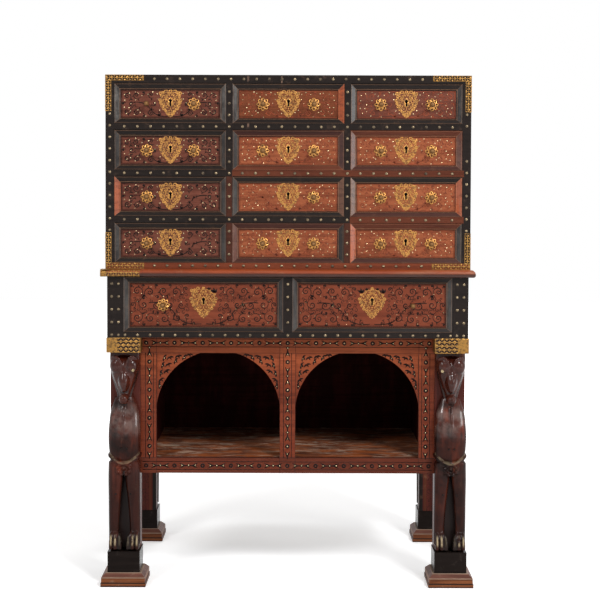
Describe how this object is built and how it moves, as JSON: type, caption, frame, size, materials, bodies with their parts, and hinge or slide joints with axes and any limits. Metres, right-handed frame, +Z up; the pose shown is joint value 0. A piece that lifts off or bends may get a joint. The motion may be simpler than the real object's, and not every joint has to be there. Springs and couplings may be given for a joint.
{
  "type": "cabinet of drawers on stand",
  "caption": "Antique inlaid cabinet of drawers on a stand with long drawers, an arched open compartment and carved beast legs; gilt key plates, knobs, corner mounts and collars.",
  "frame": {"origin": "on the floor under the middle of the stand", "axes": "+Z up, +Y towards the back, +X to the right seen from the front"},
  "size_m": [0.97, 0.588, 1.33],
  "materials": {
    "rosewood": "waxed red-brown rosewood with ebony inlay and pins",
    "dark_rosewood": "polished dark carved rosewood",
    "red_moulding": "waxed reddish moulding",
    "brown_base": "worn brown wood",
    "ebony": "satin ebony",
    "teak": "plain oiled teak",
    "gilt_copper": "worn fire-gilt copper, pierced",
    "pale_brass": "pale worn brass nail heads",
    "lock_iron": "dark forged iron"
  },
  "bodies": {
    "cabinet_on_stand": {"cabinet_carcase": "teak", "cabinet_back": "teak", "cabinet_partitions": "teak", "cabinet_facings": "ebony", "corner_mounts": "gilt_copper", "nail_heads": "pale_brass", "handle_plates": "gilt_copper", "stand_top": "red_moulding", "stand_apron": "ebony", "compartment_arcade": "rosewood", "compartment_case": "teak", "leg_posts": "rosewood", "leg_collars": "gilt_copper", "guardian_beasts": "dark_rosewood", "leg_plinths": "ebony", "leg_feet": "brown_base"},
    "left_handle": {"left_handle": "gilt_copper"},
    "right_handle": {"right_handle": "gilt_copper"},
    "drawer_1_left": {"drawer_1_left": "rosewood", "drawer_1_left_mounts": "gilt_copper"},
    "drawer_1_left_bolt": {"drawer_1_left_bolt": "lock_iron"},
    "drawer_1_middle": {"drawer_1_middle": "rosewood", "drawer_1_middle_mounts": "gilt_copper"},
    "drawer_1_middle_bolt": {"drawer_1_middle_bolt": "lock_iron"},
    "drawer_1_right": {"drawer_1_right": "rosewood", "drawer_1_right_mounts": "gilt_copper"},
    "drawer_1_right_bolt": {"drawer_1_right_bolt": "lock_iron"},
    "drawer_2_left": {"drawer_2_left": "rosewood", "drawer_2_left_mounts": "gilt_copper"},
    "drawer_2_left_bolt": {"drawer_2_left_bolt": "lock_iron"},
    "drawer_2_middle": {"drawer_2_middle": "rosewood", "drawer_2_middle_mounts": "gilt_copper"},
    "drawer_2_middle_bolt": {"drawer_2_middle_bolt": "lock_iron"},
    "drawer_2_right": {"drawer_2_right": "rosewood", "drawer_2_right_mounts": "gilt_copper"},
    "drawer_2_right_bolt": {"drawer_2_right_bolt": "lock_iron"},
    "drawer_3_left": {"drawer_3_left": "rosewood", "drawer_3_left_mounts": "gilt_copper"},
    "drawer_3_left_bolt": {"drawer_3_left_bolt": "lock_iron"},
    "drawer_3_middle": {"drawer_3_middle": "rosewood", "drawer_3_middle_mounts": "gilt_copper"},
    "drawer_3_middle_bolt": {"drawer_3_middle_bolt": "lock_iron"},
    "drawer_3_right": {"drawer_3_right": "rosewood", "drawer_3_right_mounts": "gilt_copper"},
    "drawer_3_right_bolt": {"drawer_3_right_bolt": "lock_iron"},
    "drawer_4_left": {"drawer_4_left": "rosewood", "drawer_4_left_mounts": "gilt_copper"},
    "drawer_4_left_bolt": {"drawer_4_left_bolt": "lock_iron"},
    "drawer_4_middle": {"drawer_4_middle": "rosewood", "drawer_4_middle_mounts": "gilt_copper"},
    "drawer_4_middle_bolt": {"drawer_4_middle_bolt": "lock_iron"},
    "drawer_4_right": {"drawer_4_right": "rosewood", "drawer_4_right_mounts": "gilt_copper"},
    "drawer_4_right_bolt": {"drawer_4_right_bolt": "lock_iron"},
    "stand_drawer_left": {"stand_drawer_left": "rosewood", "stand_drawer_left_mounts": "gilt_copper"},
    "stand_drawer_left_bolt": {"stand_drawer_left_bolt": "lock_iron"},
    "stand_drawer_right": {"stand_drawer_right": "rosewood", "stand_drawer_right_mounts": "gilt_copper"},
    "stand_drawer_right_bolt": {"stand_drawer_right_bolt": "lock_iron"}
  },
  "joints": [
    {"name": "drawer_1_left_slide", "type": "slide", "parent": "cabinet_on_stand", "child": "drawer_1_left", "axis": [0, -1, 0], "range_m": [0, 0.36]},
    {"name": "drawer_1_left_lock", "type": "slide", "parent": "drawer_1_left", "child": "drawer_1_left_bolt", "axis": [0, 0, 1], "range_m": [0, 0.0065]},
    {"name": "drawer_1_middle_slide", "type": "slide", "parent": "cabinet_on_stand", "child": "drawer_1_middle", "axis": [0, -1, 0], "range_m": [0, 0.36]},
    {"name": "drawer_1_middle_lock", "type": "slide", "parent": "drawer_1_middle", "child": "drawer_1_middle_bolt", "axis": [0, 0, 1], "range_m": [0, 0.0065]},
    {"name": "drawer_1_right_slide", "type": "slide", "parent": "cabinet_on_stand", "child": "drawer_1_right", "axis": [0, -1, 0], "range_m": [0, 0.36]},
    {"name": "drawer_1_right_lock", "type": "slide", "parent": "drawer_1_right", "child": "drawer_1_right_bolt", "axis": [0, 0, 1], "range_m": [0, 0.0065]},
    {"name": "drawer_2_left_slide", "type": "slide", "parent": "cabinet_on_stand", "child": "drawer_2_left", "axis": [0, -1, 0], "range_m": [0, 0.36]},
    {"name": "drawer_2_left_lock", "type": "slide", "parent": "drawer_2_left", "child": "drawer_2_left_bolt", "axis": [0, 0, 1], "range_m": [0, 0.0065]},
    {"name": "drawer_2_middle_slide", "type": "slide", "parent": "cabinet_on_stand", "child": "drawer_2_middle", "axis": [0, -1, 0], "range_m": [0, 0.36]},
    {"name": "drawer_2_middle_lock", "type": "slide", "parent": "drawer_2_middle", "child": "drawer_2_middle_bolt", "axis": [0, 0, 1], "range_m": [0, 0.0065]},
    {"name": "drawer_2_right_slide", "type": "slide", "parent": "cabinet_on_stand", "child": "drawer_2_right", "axis": [0, -1, 0], "range_m": [0, 0.36]},
    {"name": "drawer_2_right_lock", "type": "slide", "parent": "drawer_2_right", "child": "drawer_2_right_bolt", "axis": [0, 0, 1], "range_m": [0, 0.0065]},
    {"name": "drawer_3_left_slide", "type": "slide", "parent": "cabinet_on_stand", "child": "drawer_3_left", "axis": [0, -1, 0], "range_m": [0, 0.36]},
    {"name": "drawer_3_left_lock", "type": "slide", "parent": "drawer_3_left", "child": "drawer_3_left_bolt", "axis": [0, 0, 1], "range_m": [0, 0.0065]},
    {"name": "drawer_3_middle_slide", "type": "slide", "parent": "cabinet_on_stand", "child": "drawer_3_middle", "axis": [0, -1, 0], "range_m": [0, 0.36]},
    {"name": "drawer_3_middle_lock", "type": "slide", "parent": "drawer_3_middle", "child": "drawer_3_middle_bolt", "axis": [0, 0, 1], "range_m": [0, 0.0065]},
    {"name": "drawer_3_right_slide", "type": "slide", "parent": "cabinet_on_stand", "child": "drawer_3_right", "axis": [0, -1, 0], "range_m": [0, 0.36]},
    {"name": "drawer_3_right_lock", "type": "slide", "parent": "drawer_3_right", "child": "drawer_3_right_bolt", "axis": [0, 0, 1], "range_m": [0, 0.0065]},
    {"name": "drawer_4_left_slide", "type": "slide", "parent": "cabinet_on_stand", "child": "drawer_4_left", "axis": [0, -1, 0], "range_m": [0, 0.36]},
    {"name": "drawer_4_left_lock", "type": "slide", "parent": "drawer_4_left", "child": "drawer_4_left_bolt", "axis": [0, 0, 1], "range_m": [0, 0.0065]},
    {"name": "drawer_4_middle_slide", "type": "slide", "parent": "cabinet_on_stand", "child": "drawer_4_middle", "axis": [0, -1, 0], "range_m": [0, 0.36]},
    {"name": "drawer_4_middle_lock", "type": "slide", "parent": "drawer_4_middle", "child": "drawer_4_middle_bolt", "axis": [0, 0, 1], "range_m": [0, 0.0065]},
    {"name": "drawer_4_right_slide", "type": "slide", "parent": "cabinet_on_stand", "child": "drawer_4_right", "axis": [0, -1, 0], "range_m": [0, 0.36]},
    {"name": "drawer_4_right_lock", "type": "slide", "parent": "drawer_4_right", "child": "drawer_4_right_bolt", "axis": [0, 0, 1], "range_m": [0, 0.0065]},
    {"name": "stand_drawer_left_slide", "type": "slide", "parent": "cabinet_on_stand", "child": "stand_drawer_left", "axis": [0, -1, 0], "range_m": [0, 0.36]},
    {"name": "stand_drawer_left_lock", "type": "slide", "parent": "stand_drawer_left", "child": "stand_drawer_left_bolt", "axis": [0, 0, 1], "range_m": [0, 0.0065]},
    {"name": "stand_drawer_right_slide", "type": "slide", "parent": "cabinet_on_stand", "child": "stand_drawer_right", "axis": [0, -1, 0], "range_m": [0, 0.36]},
    {"name": "stand_drawer_right_lock", "type": "slide", "parent": "stand_drawer_right", "child": "stand_drawer_right_bolt", "axis": [0, 0, 1], "range_m": [0, 0.0065]},
    {"name": "left_handle_swing", "type": "hinge", "parent": "cabinet_on_stand", "child": "left_handle", "pos_m": [-0.4802, 0, 1.119], "axis": [0, 1, 0], "range_deg": [0, 110]},
    {"name": "right_handle_swing", "type": "hinge", "parent": "cabinet_on_stand", "child": "right_handle", "pos_m": [0.4802, 0, 1.119], "axis": [0, -1, 0], "range_deg": [0, 110]}
  ]
}
